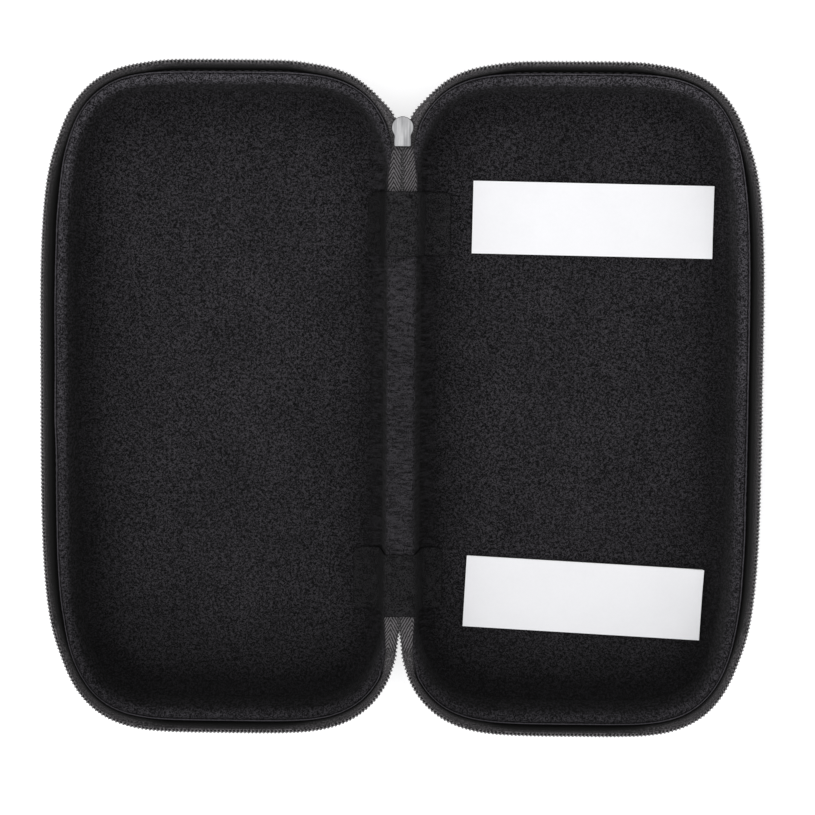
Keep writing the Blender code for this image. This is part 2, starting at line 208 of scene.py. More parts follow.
def spaced(profile, count):
    """A profile's points evenly spaced along its length."""
    profile = np.array(profile, float)
    length = path_length(profile)
    return at_distance(profile, length, np.linspace(0, length[-1], count))


def resample(lines, step):
    """Points evenly spaced along the last line, and their places on the others."""
    length = path_length(lines[-1])
    at = np.linspace(0, length[-1], int(length[-1] / step) + 1)
    return at, [at_distance(line, length, at) for line in lines]


def unit(vectors):
    return vectors / np.maximum(np.linalg.norm(vectors, axis=-1, keepdims=True), 1e-9)


# ---------------------------------------------------------------- tray outline


def outline_free(angle, inset):
    """(x, y) of the base tray's outline at angles in radians, drawn in by an inset, with no flat at the hinge."""
    power = 2 / (RIM_POWER + POWER_PER_METRE * inset)
    across, along = np.cos(angle), np.sin(angle)
    reach = np.where(across > 0, FREE_REACH, HINGE_REACH)
    x = TRAY_CENTRE_X + (reach - inset) * np.sign(across) * np.abs(across) ** power
    return x, (HALF_LENGTH - inset) * np.sign(along) * np.abs(along) ** power


def outline(angle, inset):
    """The outline, cut off flat at the hinge face."""
    x, y = outline_free(angle, inset)
    return np.maximum(x, HINGE_FACE_X + inset), y


def even_angles(count, inset=0.002):
    """Angles that space points evenly round the outline."""
    fine = np.linspace(0, 2 * math.pi, 8001)
    length = path_length(np.stack(outline(fine, inset), axis=1))
    return np.interp(np.linspace(0, length[-1], count, endpoint=False), length, fine)


ANGLES = even_angles(RING_POINTS)
RIM_Y = outline(ANGLES, 0.0)[1]
ON_HINGE = np.cos(ANGLES) < 0


def by_end(y, upper, lower):
    """A smooth step of |y| that has its own span at each end."""
    return np.where(np.asarray(y) > 0, smoothstep(np.abs(y), *upper), smoothstep(np.abs(y), *lower))


SPINE_SHARE = np.where(ON_HINGE, 1 - smoothstep(np.abs(RIM_Y), SPINE_END_Y, SPINE_END_Y + 0.003), 0)
FREE_SHARE = np.where(ON_HINGE, by_end(RIM_Y, UPPER_CORNER, LOWER_CORNER), 1.0)
CHAIN_SHARE = 1 - SPINE_SHARE - FREE_SHARE


def draft_at(z):
    return WALL_DRAFT * (RIM_Z - z) / RIM_Z


def fillet(depth, steps):
    """(inset, z) from the floor's edge up to the wall's foot."""
    radius = FILLET_RADIUS - depth
    turn = np.radians(np.linspace(90, 0, steps))
    return [(FILLET_INSET - radius * math.cos(a), FILLET_RADIUS - radius * math.sin(a)) for a in turn]


def wall(depth, top_z, steps):
    """(inset, z) up the wall, above the fillet and below top_z."""
    heights = np.linspace(FILLET_RADIUS, top_z, steps + 2)[1:-1]
    return [(depth + draft_at(z), z) for z in heights]


def ellipse(centre, radii, start, end, steps):
    """Points round part of an ellipse, from one angle to another in degrees."""
    turn = np.radians(np.linspace(start, end, steps))
    return [(centre[0] + radii[0] * math.cos(a), centre[1] + radii[1] * math.sin(a)) for a in turn]


def ring(side, inset, z):
    """One ring of points round the outline."""
    x, y = outline(ANGLES, inset)
    return mirrored(np.stack([x, y, np.full(x.shape, z)], axis=1), side)


def tray_rings(side, depth, top_z, wall_steps):
    """Rings of one face of a tray's shell, from the floor's middle out to the wall and up to below top_z."""
    edge = ring(side, FILLET_INSET, depth)
    middle = edge.mean(axis=0)
    rings = [middle + (edge - middle) * share for share in FLOOR_SHARES]
    return rings + [ring(side, *station) for station in fillet(depth, 12) + wall(depth, top_z, wall_steps)]


def bowl(name, rings, top_z, back_z, material):
    """A closed shell of rings: from the floor's middle out and up to the rim, and back down to the middle."""
    rings = np.array(rings)
    rows, columns = rings.shape[:2]
    points = rings.reshape(-1, 3)
    faces = strip_faces(rows, columns, close_columns=True)
    first = len(points)
    centre = rings[0].mean(axis=0)
    points = np.concatenate([points, [[centre[0], centre[1], top_z], [centre[0], centre[1], back_z]]])
    last_row = (rows - 1) * columns
    for c in range(columns):
        d = (c + 1) % columns
        faces.append((first, d, c))
        faces.append((first + 1, last_row + c, last_row + d))
    return make_object(name, points, faces, material)


def ripple(points, scale, depth, seed):
    """A smooth random shift for each point, in -depth to depth."""
    offset = Vector((seed * 3.1, seed * 7.7, seed * 1.3))
    return np.array([depth * noise.noise(Vector(p) * scale + offset) for p in points])


# ---------------------------------------------------------------- materials


class Nodes:
    """A small hand for building one material's nodes."""

    def __init__(self, name):
        self.material = bpy.data.materials.new(name)
        self.material.use_nodes = True
        self.tree = self.material.node_tree
        self.shader = self.tree.nodes["Principled BSDF"]

    def add(self, kind, **values):
        node = self.tree.nodes.new(kind)
        for key, value in values.items():
            setattr(node, key, value)
        return node

    def feed(self, socket, value):
        """Gives a socket a number, a colour or another node's output."""
        if isinstance(value, (int, float)):
            socket.default_value = value
        elif isinstance(value, tuple):
            socket.default_value = (*value, 1.0)
        else:
            self.tree.links.new(value, socket)

    def set(self, **values):
        for key, value in values.items():
            self.feed(self.shader.inputs[key.replace("_", " ")], value)

    def place(self, attribute="rest"):
        return self.add("ShaderNodeAttribute", attribute_name=attribute).outputs["Vector"]

    def math(self, operation, *values, clamp=False):
        node = self.add("ShaderNodeMath", operation=operation, use_clamp=clamp)
        for socket, value in zip(node.inputs, values):
            self.feed(socket, value)
        return node.outputs[0]

    def mul(self, a, b):
        return self.math("MULTIPLY", a, b)

    def sub(self, a, b):
        return self.math("SUBTRACT", a, b)

    def fma(self, a, b, c):
        return self.math("MULTIPLY_ADD", a, b, c)

    def weigh(self, a, share, b):
        """A share of a, and the rest of b."""
        return self.fma(a, share, self.mul(b, 1 - share))

    def rise(self, value, low, span):
        """0 up to low, and 1 from low + span on."""
        return self.math("DIVIDE", self.sub(value, low), span, clamp=True)

    def fall(self, value, high, span):
        """1 up to high - span, and 0 from high on."""
        return self.math("DIVIDE", self.sub(high, value), span, clamp=True)

    def wave(self, distance, period):
        """A sine of a distance, in -1 to 1."""
        return self.math("SINE", self.mul(distance, 2 * math.pi / period))

    def stretched(self, vector, scale):
        node = self.add("ShaderNodeVectorMath", operation="MULTIPLY")
        self.feed(node.inputs[0], vector)
        node.inputs[1].default_value = scale
        return node.outputs["Vector"]

    def noise(self, vector, scale, detail, roughness):
        """Noise at one scale, or at a scale for each direction."""
        if isinstance(scale, tuple):
            vector, scale = self.stretched(vector, scale), 1.0
        node = self.add("ShaderNodeTexNoise")
        for key, value in (("Vector", vector), ("Scale", scale), ("Detail", detail), ("Roughness", roughness)):
            self.feed(node.inputs[key], value)
        return node.outputs["Fac"]

    def parts(self, vector):
        node = self.add("ShaderNodeSeparateXYZ")
        self.feed(node.inputs[0], vector)
        return node.outputs

    def ramp(self, factor, *stops):
        node = self.add("ShaderNodeValToRGB")
        elements = node.color_ramp.elements
        while len(elements) < len(stops):
            elements.new(0.5)
        for element, (position, colour) in zip(elements, stops):
            element.position = position
            element.color = (*colour, 1.0)
        self.feed(node.inputs["Fac"], factor)
        return node.outputs["Color"]

    def mix(self, factor, a, b, blend="MIX"):
        node = self.add("ShaderNodeMix", data_type="RGBA", blend_type=blend)
        for key, value in (("Factor", factor), ("A", a), ("B", b)):
            self.feed(node.inputs[key], value)
        return node.outputs["Result"]

    def tint(self, a, b):
        return self.mix(1.0, a, b, "MULTIPLY")

    def grey(self, value):
        node = self.add("ShaderNodeCombineColor")
        for socket in node.inputs[:3]:
            self.feed(socket, value)
        return node.outputs["Color"]

    def bump(self, height, strength, distance, after=None):
        node = self.add("ShaderNodeBump")
        for key, value in (("Strength", strength), ("Distance", distance), ("Height", height)):
            self.feed(node.inputs[key], value)
        if after is not None:
            self.feed(node.inputs["Normal"], after)
        self.feed(self.shader.inputs["Normal"], node.outputs["Normal"])
        return node.outputs["Normal"]


BLACK = (0.001, 0.001, 0.001)


def fleece_material(name, dark, light):
    """Brushed fleece: clumps with bright flecks, coarser on the walls, ridged by the hinge, with a painted
    highlight on the rim and painted light and shade.
    """
    n = Nodes(name)
    place = n.place()
    x, y, z = n.parts(place)
    across = n.math("ABSOLUTE", x)
    drawn = n.stretched(place, (1.0, 1.0, 0.45))
    clumps = n.noise(drawn, 900.0, 2.0, 0.6)
    flecks = n.noise(drawn, 2300.0, 1.0, 0.6)
    coarse = n.noise(drawn, 1150.0, 1.0, 0.6)
    fibre = n.weigh(flecks, 0.62, clumps)
    steep = n.mul(n.rise(z, FLOOR_Z + 0.0020, 0.0040), n.fall(z, RIM_Z - 0.0010, 0.0030))
    fibre = n.math("ADD", fibre, n.mul(n.mul(steep, 0.75), n.sub(coarse, fibre)))
    middle = tuple(0.33 * (a + b) for a, b in zip(dark, light))
    colour = n.ramp(fibre, (0.415, dark), (0.50, middle), (0.59, light))

    ridges = n.noise(place, (260.0, 1050.0, 90.0), 2.0, 0.6)
    near_hinge = n.mul(n.fall(across, 0.0150, 0.0060), n.fall(z, RIM_Z - 0.0010, 0.0025))
    streaks = n.ramp(ridges, (0.42, tuple(0.6 * a for a in dark)), (0.60, light))
    colour = n.mix(n.mul(near_hinge, 0.62), colour, streaks)
    # On the spine ridge the fleece takes a lighter streaked ramp: the streaks are the fabric's own, and the
    # lighter tone is painted light on the ridge that faces up.
    on_spine = n.mul(n.rise(z, RIM_Z - 0.0022, 0.0018), n.fall(across, 0.0056, 0.0012))
    lit_spine_streaks = n.ramp(n.weigh(ridges, 0.42, fibre), (0.41, dark), (0.585, light))
    colour = n.mix(n.mul(on_spine, 0.8), colour, lit_spine_streaks)

    # Painted highlight: lighter towards the rim, less near the middle, none on the spine, and stronger towards the
    # upper end.
    painted_rim_highlight = n.mul(n.sub(1.0, on_spine), n.rise(z, RIM_Z - 0.0060, 0.0050))
    painted_rim_highlight = n.mul(painted_rim_highlight, n.fma(n.rise(across, 0.008, 0.040), 0.75, 0.25))
    # Painted light: the whole fleece lighter towards the upper end and darker towards the lower.
    toward_end = n.mul(y, 1 / HALF_LENGTH)
    painted_light_tone = n.mul(painted_rim_highlight, n.fma(toward_end, 0.56, 0.72))
    painted_light_tone = n.fma(toward_end, 0.16, n.math("ADD", painted_light_tone, 1.0))
    colour = n.tint(colour, n.grey(painted_light_tone))
    # The edge attribute paints light and shade: a painted highlight on the rim's outer lip, and painted shade in
    # its seam, on the floor's edge and on the walls.
    edge = n.add("ShaderNodeAttribute", attribute_name="edge").outputs["Fac"]
    colour = n.mix(n.math("MAXIMUM", edge, 0.0), colour, tuple(2.4 * a for a in light))
    colour = n.mix(n.mul(n.math("MINIMUM", edge, 0.0), -1.0), colour, BLACK)
    broad = n.ramp(n.noise(place, 38.0, 3.0, 0.5), (0.3, (0.82, 0.82, 0.83)), (0.7, (1.12, 1.11, 1.12)))
    n.set(Base_Color=n.tint(colour, broad), Roughness=0.95, Sheen_Weight=0.01, Specular_IOR_Level=0.15)
    first = n.bump(clumps, 0.7, 0.0006)
    n.bump(flecks, 0.6, 0.0003, after=first)
    return n.material


def woven_material(name, dark, light):
    """Plain-woven cloth: two crossing sets of yarns under a fine fuzz."""
    n = Nodes(name)
    place = n.place()
    x, y, z = n.parts(place)
    yarn = 0.0009
    warp = n.wave(n.math("ADD", x, n.mul(z, 0.6)), yarn)
    weft = n.wave(n.math("ADD", y, n.mul(z, 0.6)), yarn)
    height = n.fma(n.mul(warp, weft), 0.5, 0.5)
    fuzz = n.noise(place, 900.0, 3.0, 0.6)
    colour = n.ramp(n.weigh(fuzz, 0.8, height), (0.3, dark), (0.75, light))
    n.set(Base_Color=colour, Sheen_Weight=0.01, Specular_IOR_Level=0.3, Roughness=n.fma(fuzz, 0.25, 0.55))
    first = n.bump(height, 0.15, 0.0001)
    n.bump(fuzz, 0.35, 0.0002, after=first)
    return n.material


def herringbone_material(name, apex, dark, light):
    """Woven zip tape: raised twill strands that meet in a chevron at a distance in from the free edge, with
    painted shade on straight sides, toward the rim and in the middle seam.
    """
    n = Nodes(name)
    weave = n.place("weave")
    along, across, kind = n.parts(weave)
    twill = n.math("MAXIMUM", kind, 0.0)
    # Painted shade along the straight sides, deeper away from the free edge.
    shaded = n.mul(n.math("MINIMUM", kind, 0.0), n.rise(across, 0.0, 0.0042))
    chevron = n.math("ABSOLUTE", n.sub(across, apex))
    wander = n.mul(n.noise(weave, (900.0, 1100.0, 1.0), 2.0, 0.6), 0.0012)
    slant = n.fma(chevron, 1.8, n.math("ADD", along, wander))
    lines = n.fma(n.wave(slant, 0.0020), 0.5, 0.5)
    threads = n.sub(n.noise(weave, (1800.0, 1800.0, 1.0), 2.0, 0.6), 0.5)
    strand = n.mul(n.mul(lines, n.fma(threads, 2.6, 0.95)), twill)
    speckle = n.mul(n.fma(threads, 2.2, 0.42), n.fma(twill, -0.80, 0.92))
    speckle = n.mul(speckle, n.fma(shaded, 0.6, 1.0))
    # Painted shadow of the gap beside the rim: black across the tape's part nearer the rim, off the twill; and
    # black dots of painted shade in the twill's middle seam.
    gap = n.mul(n.rise(across, 0.0028, 0.0018), n.fma(twill, -0.85, 0.85))
    seam_hole_shade = n.mul(n.fall(across, 0.0010, 0.0010), n.fma(n.wave(along, 0.0016), 0.5, 0.5))
    gap = n.math("MAXIMUM", gap, n.mul(seam_hole_shade, twill))
    colour = n.ramp(n.math("MAXIMUM", strand, speckle), (0.22, dark), (0.72, light))
    n.set(Base_Color=n.mix(gap, colour, BLACK), Roughness=0.85)
    n.bump(strand, 0.8, 0.00025)
    return n.material


def felt_material(name, dark, light):
    """Pressed felt, with painted shade along its cut edges and the painted shade stored on its points."""
    n = Nodes(name)
    place = n.place()
    fibre = n.noise(place, 2000.0, 2.0, 0.65)
    clumps = n.noise(place, (320.0, 420.0, 420.0), 3.0, 0.6)
    from_edge, in_shade, _ = n.parts(n.place("weave"))
    colour = n.ramp(n.weigh(fibre, 0.72, clumps), (0.43, dark), (0.565, light))
    # Painted shade: darker along the cut edges and by the shade value stored on the points.
    painted_felt_shade = n.math("MAXIMUM", n.mul(n.fall(from_edge, 0.0007, 0.0007), 0.9), in_shade)
    n.set(Base_Color=n.mix(painted_felt_shade, colour, BLACK), Roughness=0.95, Specular_IOR_Level=0.15)
    first = n.bump(clumps, 0.5, 0.0005)
    n.bump(fibre, 0.5, 0.0003, after=first)
    return n.material


def nylon_material(name, dark, light):
    n = Nodes(name)
    blotch = n.noise(n.place(), 700.0, 2.0, 0.5)
    n.set(Base_Color=n.ramp(blotch, (0.35, dark), (0.65, light)), Roughness=n.fma(blotch, 0.2, 0.32))
    n.bump(blotch, 0.15, 0.0001)
    return n.material


def zinc_material(name):
    """Plated casting with fine lengthwise brushing, with painted shade on faces turned away from the slider's flat
    sides.
    """
    n = Nodes(name)
    place = n.place()
    brush = n.noise(place, (1300.0, 60.0, 1300.0), 2.0, 0.6)
    cloud = n.noise(place, (330.0, 110.0, 330.0), 2.0, 0.5)
    colour = n.ramp(n.weigh(brush, 0.55, cloud), (0.38, (0.30, 0.30, 0.31)), (0.62, (0.56, 0.56, 0.57)))
    up = n.parts(n.add("ShaderNodeTexCoord").outputs["Normal"])[2]
    # Painted shade: faces that don't face straight up or down are mixed toward near black.
    turned = n.fall(n.math("ABSOLUTE", up), 0.97, 0.17)
    n.set(Base_Color=n.mix(turned, colour, (0.05, 0.05, 0.052)), Metallic=0.35)
    n.set(Roughness=n.fma(brush, 0.2, 0.42))
    n.bump(brush, 0.12, 0.00008)
    return n.material


def paper_material(name):
    """Coated paper, with painted light that makes it a little lighter towards the slider's end."""
    n = Nodes(name)
    place = n.place()
    pulp = n.noise(place, 800.0, 3.0, 0.55)
    cloud = n.noise(place, 60.0, 2.0, 0.5)
    white = n.ramp(n.weigh(pulp, 0.4, cloud), (0.3, (0.865, 0.865, 0.89)), (0.7, (0.905, 0.905, 0.93)))
    # Painted light: lighter towards the upper end and darker towards the lower.
    painted_light_tone = n.grey(n.fma(n.parts(place)[1], 0.8, 1.0))
    n.set(Base_Color=n.tint(white, painted_light_tone), Roughness=n.fma(pulp, 0.15, 0.38))
    n.bump(pulp, 0.08, 0.00008)
    return n.material


def foam_material(name, colour):
    n = Nodes(name)
    cells = n.noise(n.add("ShaderNodeTexCoord").outputs["Object"], 1500.0, 2.0, 0.6)
    n.set(Base_Color=n.ramp(cells, (0.35, tuple(0.7 * c for c in colour)), (0.65, colour)), Roughness=0.9)
    n.bump(cells, 0.4, 0.0003)
    return n.material


FLEECE_LOOK = fleece_material("fleece", (0.0016, 0.0015, 0.0019), (0.041, 0.039, 0.044))
CLOTH_LOOK = woven_material("outer_cloth", (0.006, 0.006, 0.0065), (0.030, 0.030, 0.032))
TAPE_LOOKS = {
    "base": herringbone_material("zip_tape_base", 0.0050, (0.0035, 0.0030, 0.0035), (0.128, 0.120, 0.127)),
    "lid": herringbone_material("zip_tape_lid", 0.0032, (0.0035, 0.0030, 0.0035), (0.128, 0.120, 0.127)),
}
FELT_LOOK = felt_material("felt", (0.0022, 0.0021, 0.0026), (0.034, 0.033, 0.036))
COIL_LOOK = nylon_material("coil", (0.13, 0.125, 0.13), (0.26, 0.25, 0.255))
THREAD_LOOK = nylon_material("thread", (0.003, 0.003, 0.003), (0.012, 0.011, 0.012))
ZINC_LOOK = zinc_material("zinc")
PAPER_LOOK = paper_material("release_paper")
ADHESIVE_LOOK = foam_material("adhesive", (0.72, 0.72, 0.70))
FOAM_LOOK = foam_material("foam", (0.030, 0.030, 0.032))

# ---------------------------------------------------------------- trays


def rim_profiles():
    """Three sections over the rim, front then back: inset and z on the free sides; x and z along the spine;
    share of the way from wall to edge, and z, beside the closed zip."""
    wall_inset = FLOOR_Z + draft_at(SHOULDER_Z)
    seam = 0.00125
    front = ellipse((seam, SHOULDER_Z), (wall_inset - seam, RIM_Z - SHOULDER_Z), 0, 90, 24)
    front += [(0.00105, RIM_Z - 0.00040), (0.00088, RIM_Z - 0.00055), (0.00070, RIM_Z - 0.00040)]
    front += [(0.00055, RIM_Z - 0.00015), (0.00035, RIM_Z - 0.00008), (0.00015, RIM_Z - 0.00025)]
    front += [(0.00005, RIM_Z - 0.0007), (0.00005, RIM_Z - 0.0013)]
    back_inset = FLEECE_BACK + draft_at(SHOULDER_Z)
    back = [(0.00005, RIM_Z - 0.0013), (0.0006, RIM_Z - 0.0014), (0.0009, RIM_Z - 0.0009)]
    back += [(0.0029, RIM_Z - 0.0010), (0.0035, RIM_Z - 0.0017), (back_inset, SHOULDER_Z)]
    free = np.concatenate([spaced(front, FRONT_STATIONS), spaced(back, BACK_STATIONS)])

    roll = 0.0014
    face = HINGE_FACE_X + FLOOR_Z
    centre = (face - roll, RIM_Z - roll)
    front = [(face + draft_at(SHOULDER_Z), SHOULDER_Z), (face + draft_at(RIM_Z - roll), RIM_Z - roll)]
    front += ellipse(centre, (roll, roll), 10, 90, 9) + [(0.0, RIM_Z)]
    under = RIM_Z - FLEECE
    back = [(0.0, RIM_Z), (0.0, under), (face - roll, under)]
    back += ellipse(centre, (roll - FLEECE, roll - FLEECE), 80, 0, 5)
    back += [(HINGE_FACE_X + back_inset, SHOULDER_Z)]
    spine = np.concatenate([spaced(front, FRONT_STATIONS), spaced(back, BACK_STATIONS)])

    front = ellipse((0.80, SHOULDER_Z), (-0.80, RIM_Z - 0.0001 - SHOULDER_Z), 0, 90, 20)
    front += [(0.90, RIM_Z - 0.00012), (0.97, RIM_Z - 0.00025), (1.0, RIM_Z - 0.00045)]
    back = [(1.0, RIM_Z - 0.00045), (0.9, RIM_Z - 0.0006), (0.5, RIM_Z - 0.0012), (0.25, RIM_Z - 0.0024)]
    back += [(0.1, SHOULDER_Z)]
    chain = np.concatenate([ramped(front, FRONT_STATIONS), ramped(back, BACK_STATIONS)])
    return free, spine, chain


def ramped(profile, count):
    """Like spaced, for a profile whose first number is a share of about 2 mm."""
    reach = 0.002
    return spaced([(share * reach, z) for share, z in profile], count) / np.array([reach, 1.0])


def rim_rings(side):
    """Rings over the rim, whose section changes round the outline."""
    wall_x, wall_y = outline(ANGLES, FLOOR_Z + draft_at(SHOULDER_Z))
    edge_x = np.interp(RIM_Y, LINING_EDGE_Y, LINING_EDGE_X)
    rings = []
    for (inset, free_z), (spine_x, spine_z), (share, chain_z) in zip(*rim_profiles()):
        x, y = outline(ANGLES, inset)
        chain_x = wall_x + (edge_x - wall_x) * share
        x = FREE_SHARE * x + SPINE_SHARE * spine_x + CHAIN_SHARE * chain_x
        y = FREE_SHARE * y + (1 - FREE_SHARE) * (wall_y + (RIM_Y - wall_y) * (1 - inset / FLOOR_Z))
        z = FREE_SHARE * free_z + SPINE_SHARE * spine_z + CHAIN_SHARE * chain_z
        rings.append(mirrored(np.stack([x, y, z], axis=1), side))
    return rings


def build_lining(prefix, side):
    front = tray_rings(side, FLOOR_Z, SHOULDER_Z, 7)
    back = tray_rings(side, FLEECE_BACK, SHOULDER_Z, 7)[::-1]
    rings = front + rim_rings(side) + back
    lining = bowl(prefix + "_fleece_lining", rings, FLOOR_Z, FLEECE_BACK, FLEECE_LOOK)
    mark_painted_light(lining, len(front))
    soften_rim(lining)
    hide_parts(prefix + "_lining", "spine_lining")
    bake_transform(lining)


def soften_rim(lining):
    """Small swells along the bead and walls, and none near the middle."""
    mesh = lining.data
    points = places_of(mesh).astype(float)
    high = smoothstep(points[:, 2], FLOOR_Z + 0.004, RIM_Z - 0.003)
    share = high * smoothstep(np.abs(points[:, 0]), 0.0065, 0.0120)
    points[:, 2] += (ripple(points, 70.0, 0.00035, 1.0) + ripple(points, 260.0, 0.00012, 2.0)) * share
    points[:, 0] += ripple(points, 60.0, 0.00030, 3.0) * share
    mesh.vertices.foreach_set("co", points.ravel())
    mesh.update()


def mark_painted_light(lining, first_ring):
    """An attribute of painted light and shade: up to 1 for a painted highlight on the rim's outer lip, and down
    to -1 for painted shade in its seam, on the floor's edge and on the walls."""
    values = np.zeros(len(lining.data.vertices), np.float32)
    # Painted shade, deeper towards the lower end and a little deeper beside the spine.
    painted_shade = 0.48 - 0.17 * RIM_Y / HALF_LENGTH + 0.05 * SPINE_SHARE
    fading = 9  # rings below the rim over which the painted shade halves
    for row in range(first_ring):
        if row < len(FLOOR_SHARES):
            share = math.exp(-(1 - FLOOR_SHARES[row]) / 0.16)
        else:
            share = 1 - 0.5 * max(row - first_ring + fading, 0) / fading
        values[row * RING_POINTS : (row + 1) * RING_POINTS] = -painted_shade * share
    # On the rim: a painted highlight on the lip, and painted shade in the seam's groove and on the wall under the
    # shoulder.
    for k, (inset, z) in enumerate(rim_profiles()[0][:FRONT_STATIONS]):
        lip = math.exp(-(((inset - 0.00045) / 0.00022) ** 2)) * (z > RIM_Z - 0.0005)
        seam = math.exp(-(((inset - 0.00088) / 0.00018) ** 2))
        row = (first_ring + k) * RING_POINTS
        below = 0.5 * painted_shade * (1 - smoothstep(z, SHOULDER_Z, RIM_Z - 0.0012))
        values[row : row + RING_POINTS] = (0.75 * lip - 0.9 * seam) * FREE_SHARE - below
    layer = lining.data.attributes.new("edge", "FLOAT", "POINT")
    layer.data.foreach_set("value", values)


def build_outer_cloth(prefix, side):
    """Woven skin from the back panel up to the rim, turned in over the foam."""
    top = RIM_Z - 0.0017
    lean = draft_at(top)
    turned_in = ((0.0, 0.0), (0.0001, 0.00025), (0.0003, 0.0003), (CLOTH, 0.0001))
    rim = [ring(side, inset + lean, top + height) for inset, height in turned_in]
    rings = tray_rings(side, 0.0, top, 6) + rim + tray_rings(side, CLOTH, top, 6)[::-1]
    cloth = bowl(prefix + "_outer_cloth", rings, 0.0, CLOTH, CLOTH_LOOK)
    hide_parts(prefix + "_outer_fabric")
    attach(cloth, prefix)


def build_spine_cloth():
    """Outer cloth under the spine, gently crowned, with rounded long edges."""
    low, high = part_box("spine_outer_fabric")
    width = high[0]
    middle = (low[2] + high[2]) / 2
    half = (high[2] - low[2]) / 2
    section = []
    for angle in np.linspace(0, 2 * math.pi, 40, endpoint=False):
        c, s = math.cos(angle), math.sin(angle)
        x = width * math.copysign(abs(c) ** 0.35, c)
        z = middle + half * math.copysign(abs(s) ** 0.6, s) - 0.0002 * (1 - (x / width) ** 2)
        section.append((x, z))
    rows = [[(x, y, z) for x, z in section] for y in np.linspace(low[1], high[1], 60)]
    points, faces = swept(np.array(rows))
    cloth = make_object("spine_outer_cloth", points, faces, CLOTH_LOOK, "spine")
    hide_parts("spine_outer_fabric")


# ---------------------------------------------------------------- zip


def curvature(x, y):
    dx, dy = np.gradient(x), np.gradient(y)
    return np.abs(dx * np.gradient(dy) - dy * np.gradient(dx)) / np.maximum((dx**2 + dy**2) ** 1.5, 1e-15)


def tape_lines(count=4000):
    """Lines of the base's zip tape, from the upper closed end round to the lower: how much painted shade it takes
    for being on a straight side, its sewn edge, its rim line and its free edge."""
    angle = even_angles(count, 0.0)
    angle = np.sort(np.where(angle > math.pi, angle - 2 * math.pi, angle))[::-1]
    angle = angle[np.abs(angle) < math.radians(168)]
    x, y = outline(angle, 0.0)
    straight = 1 - smoothstep(np.convolve(curvature(x, y), np.ones(150) / 150, "same"), 6.0, 17.0)
    at_ends = np.where(y > 0, *TAPE_LEAN_AT_ENDS)
    on_sides = np.where(np.abs(y) > HALF_LENGTH - 0.004, at_ends, TAPE_LEAN_ON_SIDES)
    lean = TAPE_LEAN_AT_CORNERS + (on_sides - TAPE_LEAN_AT_CORNERS) * straight
    hinge = np.cos(angle) < 0

    free_x, free_y = outline_free(angle, -lean)
    pulled = smoothstep(free_y, 0.0900, 0.1020) * (1 - smoothstep(free_y, 0.1150, 0.1260))
    near = free_x - 0.0022 * np.where(free_y > 0, pulled, 0)
    opening = np.interp(-free_y, (0.0930, 0.1048), (0.0, 0.0016))
    least = CHAIN_HALF_GAP + np.where(free_y < 0, opening, 0)
    free_x = np.where(hinge, np.maximum(near, least), free_x)
    rise = np.where(hinge, by_end(free_y, UPPER_RISE, LOWER_RISE), 1.0)
    edge = np.stack([free_x, free_y, CHAIN_Z + (TAPE_EDGE_Z - CHAIN_Z) * rise], axis=1)

    open_share = np.where(hinge, by_end(y, UPPER_CORNER, LOWER_CORNER), 1.0)
    cloth_edge = np.interp(y, LINING_EDGE_Y, LINING_EDGE_X)

    def under_cloth(inset, z, past_edge):
        """A line at an inset and height that runs beside the lining's edge where the zip is closed."""
        line_x, line_y = outline_free(angle, inset)
        line_x = open_share * line_x + (1 - open_share) * (cloth_edge + past_edge)
        return np.stack([line_x, line_y, open_share * z + (1 - open_share) * CHAIN_Z], axis=1)

    rim = under_cloth(-0.0007 - 0.0010 * straight, RIM_Z - 0.0012, -0.0006)
    sewn_z = RIM_Z - TAPE_SEWN_DEPTH
    sewn = under_cloth(draft_at(sewn_z) - 0.0006, sewn_z, 0.0001)
    kept = np.flatnonzero(~hinge | (np.abs(free_y) > SPINE_END_Y + 0.0008))
    # Painted shade for the tape on straight sides where the zip is open, smoothed along it.
    shaded = np.convolve(straight * open_share, np.ones(240) / 240, "same")
    painted_side_shade = np.stack([shaded] * 3, axis=1)
    return [line[kept] for line in (painted_side_shade, sewn, rim, edge)]


def build_zip_cloth(prefix, side):
    """Woven tape, curved from its sewn edge over the rim to its free edge."""
    at, (painted_side_shade, sewn, rim, edge) = resample(tape_lines(), 0.0016)
    share = np.linspace(0, 1, 9)[:, None]
    control = 2 * rim - 0.5 * sewn - 0.5 * edge
    sheet = sewn[:, None] * (1 - share) ** 2 + control[:, None] * (2 * share * (1 - share))
    sheet = sheet + edge[:, None] * share**2
    distance = np.linalg.norm(edge[:, None] - sheet, axis=2)
    face = unit(np.cross(np.gradient(sheet, axis=0), np.gradient(sheet, axis=1)))
    front = sheet + face * TAPE_THICKNESS / 2
    back = sheet - face * TAPE_THICKNESS / 2
    sections = np.concatenate([front, back[:, ::-1]], axis=1)
    points, faces = swept(mirrored(sections, side))
    spread = np.concatenate([distance, distance[:, ::-1]], axis=1)
    closed = 1 - smoothstep(np.abs(sections[..., 1]), 0.0990, 0.1050)
    # The weave's third number: the twill's share, less the painted shade of the straight sides.
    twill = np.where(sections[..., 0] < 0.012, closed, 0.0) - painted_side_shade[:, :1]
    weave = np.stack([np.broadcast_to(at[:, None], spread.shape), spread, twill], axis=2)
    cloth = make_object(prefix + "_zip_cloth", points, faces, TAPE_LOOKS[prefix], weave=weave.reshape(-1, 3))
    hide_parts(prefix + "_zip_tape", "upper_chain_tape_" + prefix, "lower_chain_tape_" + prefix)
    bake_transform(cloth)


